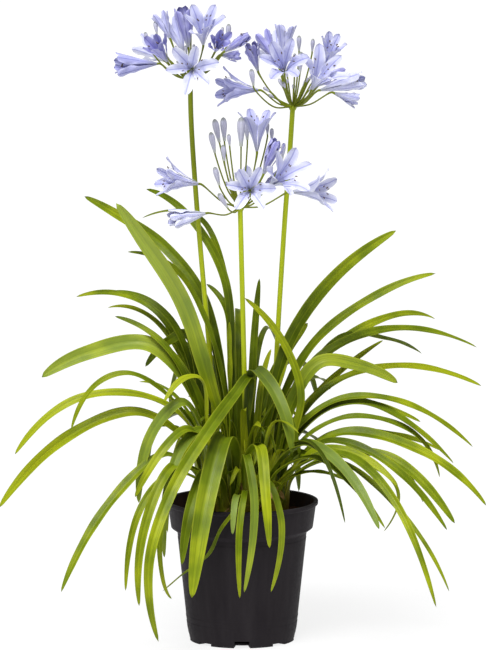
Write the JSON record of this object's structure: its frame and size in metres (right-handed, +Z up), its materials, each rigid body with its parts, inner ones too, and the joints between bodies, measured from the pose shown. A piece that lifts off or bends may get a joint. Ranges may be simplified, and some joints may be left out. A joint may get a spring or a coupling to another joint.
{
  "type": "agapanthus plant in a nursery pot",
  "caption": "Agapanthus with arching strap leaves and tall bare stems carrying round heads of pale blue trumpet flowers, growing in a black plastic nursery pot.",
  "frame": {"origin": "on the ground under the middle of the pot", "axes": "+Z up along the pot's axis, +Y to the back, +X to the viewer's right"},
  "size_m": [0.5578, 0.4518, 0.7359],
  "materials": {
    "pot": "satin black, lightly dusty",
    "soil": "matt, crumbly",
    "leaf": "satin, finely ribbed lengthwise",
    "stem": "satin",
    "pale_petal": "matt, translucent",
    "violet_petal": "matt, translucent"
  },
  "bodies": {
    "root": {"pot": "pot", "soil": "soil", "leaf_fan_right": "leaf", "leaf_fan_right_back": "leaf", "leaf_fan_right_front": "leaf", "leaf_fan_left": "leaf", "leaf_fan_left_back": "leaf", "leaf_fan_left_front": "leaf", "leaf_fan_front": "leaf", "leaf_fan_back": "leaf", "leaf_fan_back_left": "leaf", "leaf_fan_inner_left": "leaf", "leaf_fan_inner_right": "leaf", "leaf_fan_inner_front": "leaf", "flower_stem_left": "stem", "flower_stem_right": "stem", "flower_stem_middle": "stem", "bloom_left_01": "pale_petal", "bloom_left_02": "pale_petal", "bloom_left_03": "violet_petal", "bloom_left_04": "pale_petal", "bloom_left_05": "violet_petal", "bloom_left_06": "pale_petal", "bloom_left_07": "violet_petal", "bloom_left_08": "violet_petal", "bloom_left_09": "pale_petal", "bloom_left_10": "pale_petal", "bloom_left_11": "violet_petal", "bloom_right_01": "pale_petal", "bloom_right_02": "violet_petal", "bloom_right_03": "pale_petal", "bloom_right_04": "pale_petal", "bloom_right_05": "pale_petal", "bloom_right_06": "pale_petal", "bloom_right_07": "pale_petal", "bloom_right_08": "pale_petal", "bloom_right_09": "violet_petal", "bloom_right_10": "pale_petal", "bloom_right_11": "violet_petal", "bloom_middle_01": "pale_petal", "bloom_middle_02": "pale_petal", "bloom_middle_03": "pale_petal", "bloom_middle_04": "pale_petal", "bloom_middle_05": "violet_petal", "bloom_middle_06": "pale_petal", "bloom_middle_07": "pale_petal", "bloom_middle_08": "pale_petal", "bloom_middle_09": "violet_petal"}
  },
  "joints": []
}
